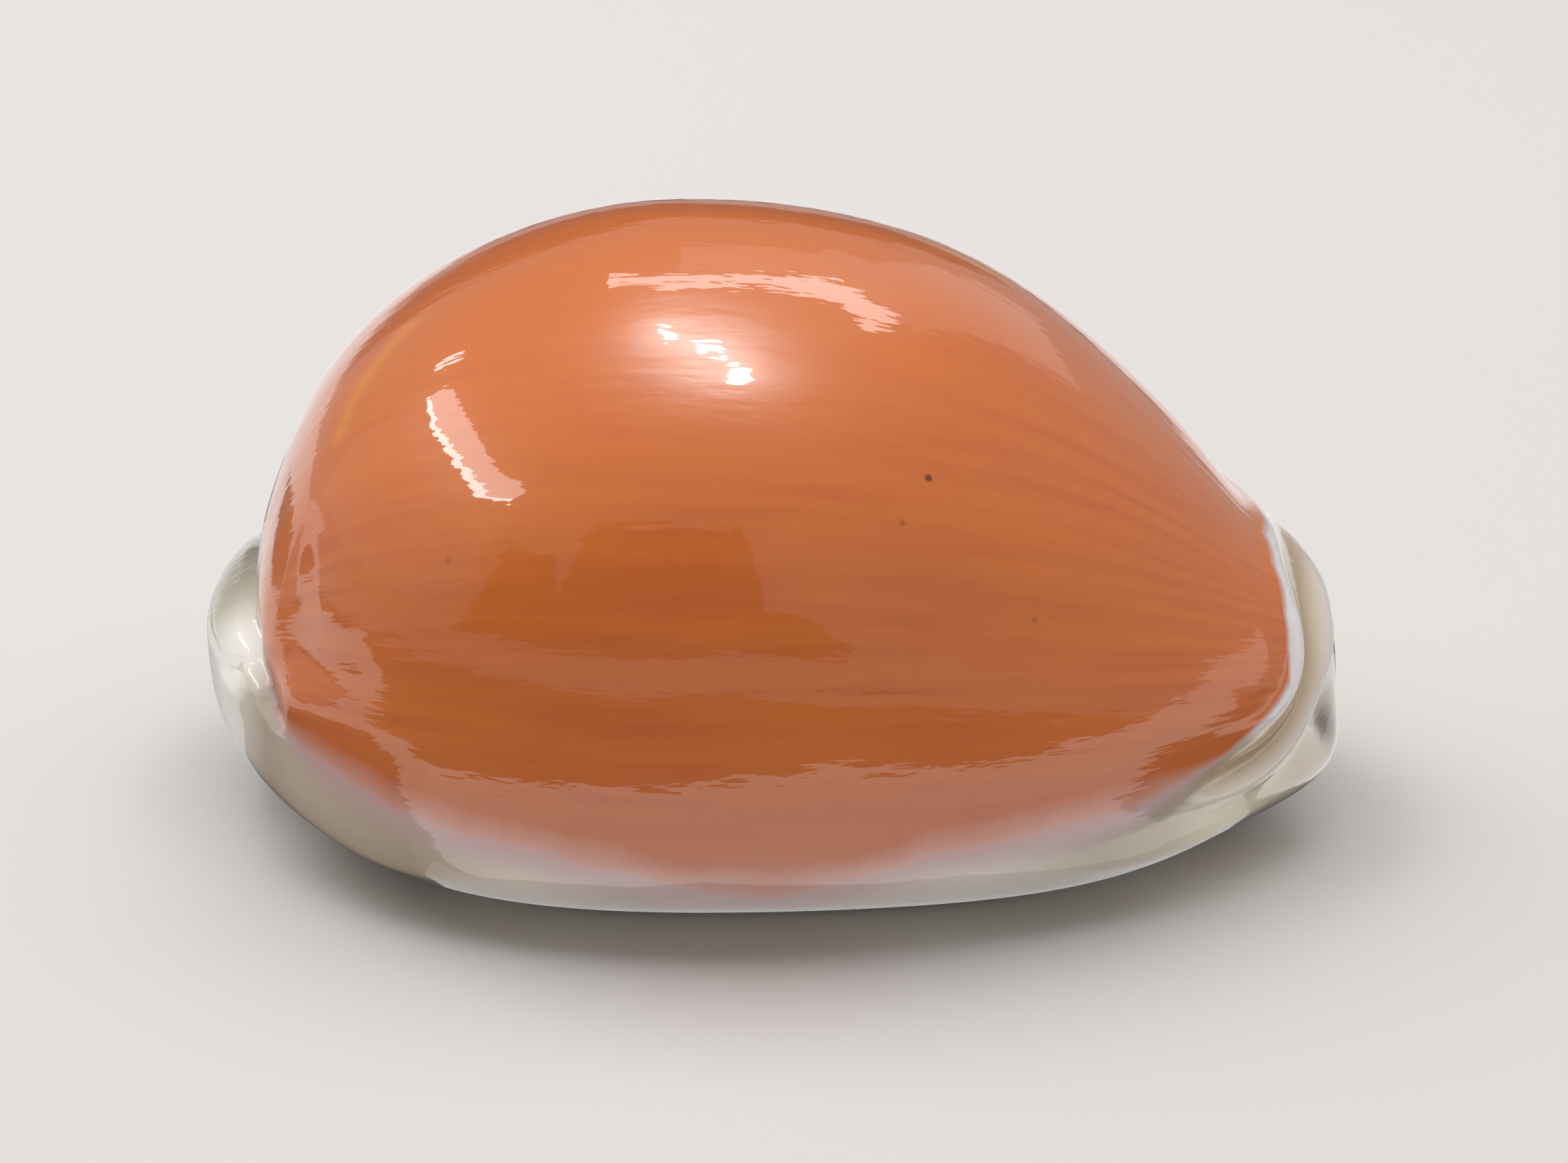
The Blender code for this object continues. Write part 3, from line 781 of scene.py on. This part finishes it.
def plainMaterial(name, colour, bright=0.0):
    # flat and matte, with no shine, and its own light for a card
    material = bpy.data.materials.new(name)
    material.use_nodes = True
    surface = material.node_tree.nodes["Principled BSDF"]
    surface.inputs["Base Color"].default_value = srgb(colour)
    surface.inputs["Roughness"].default_value = studio["matteRoughness"]
    surface.inputs["Specular IOR Level"].default_value = 0.0
    surface.inputs["Emission Color"].default_value = (1.0, 1.0, 1.0, 1.0)
    surface.inputs["Emission Strength"].default_value = bright
    return material


def addCard(name, bright, corners):
    piece = flatPiece(name, corners, plainMaterial(name, "#000000", bright))
    piece.visible_camera = False
    piece.visible_diffuse = False
    piece.visible_shadow = False
    piece.visible_transmission = False


def direction(around, up):
    return Vector((np.cos(around) * np.cos(up), np.sin(around) * np.cos(up), np.sin(up)))


def addLamp(name, towards, away, size, power):
    light = bpy.data.lights.new(name, "AREA")
    light.shape = "RECTANGLE"
    light.size, light.size_y = size
    light.energy = power
    lamp = bpy.data.objects.new(name, light)
    middle = Vector(studio["lampsRound"])
    lamp.location = middle + Vector(towards).normalized() * away
    lamp.rotation_euler = (middle - lamp.location).to_track_quat("-Z", "Y").to_euler()
    lamp.visible_camera = False
    lamp.visible_glossy = False
    bpy.context.scene.collection.objects.link(lamp)


half = studio["floorSize"] / 2
floorCorners = [(-half, -half, 0), (half, -half, 0), (half, half, 0), (-half, half, 0)]
# pale matte paper: an even, shineless grey white
floor = flatPiece("paleFloor", floorCorners, plainMaterial("mattePaper", studio["floor"]))
for name, each in softLamps.items():
    addLamp(name, **each)
for name, (bright, corners) in cards.items():
    middle = Vector(studio["cardsRound"])
    addCard(name, bright, [middle + direction(*np.radians(corner)) for corner in corners])
for layer, (name, (bright, corners)) in enumerate(floorCards.items()):
    height = (studio["firstLayer"] + studio["layerGap"] * layer) * mm
    addCard(name, bright, [(x * mm, y * mm, height) for x, y in corners])

world = bpy.data.worlds.new("softRoom")
world.use_nodes = True
background = world.node_tree.nodes["Background"]
background.inputs["Color"].default_value = srgb(studio["worldColour"])
background.inputs["Strength"].default_value = studio["worldStrength"]
bpy.context.scene.world = world

bpy.context.scene.view_settings.view_transform = "Standard"

cameraData = bpy.data.cameras.new("photoCamera")
cameraData.lens = studio["lens"]
cameraData.sensor_width = studio["sensorWidth"]
cameraData.clip_start = studio["clipStart"]
camera = bpy.data.objects.new("photoCamera", cameraData)
camera.location = studio["cameraPlace"]
camera.rotation_euler = (Vector(studio["cameraAim"]) - camera.location).to_track_quat("-Z", "Y").to_euler()
bpy.context.scene.collection.objects.link(camera)
bpy.context.scene.camera = camera
print("studio: camera,", len(softLamps), "lamps,", len(cards) + len(floorCards), "cards")
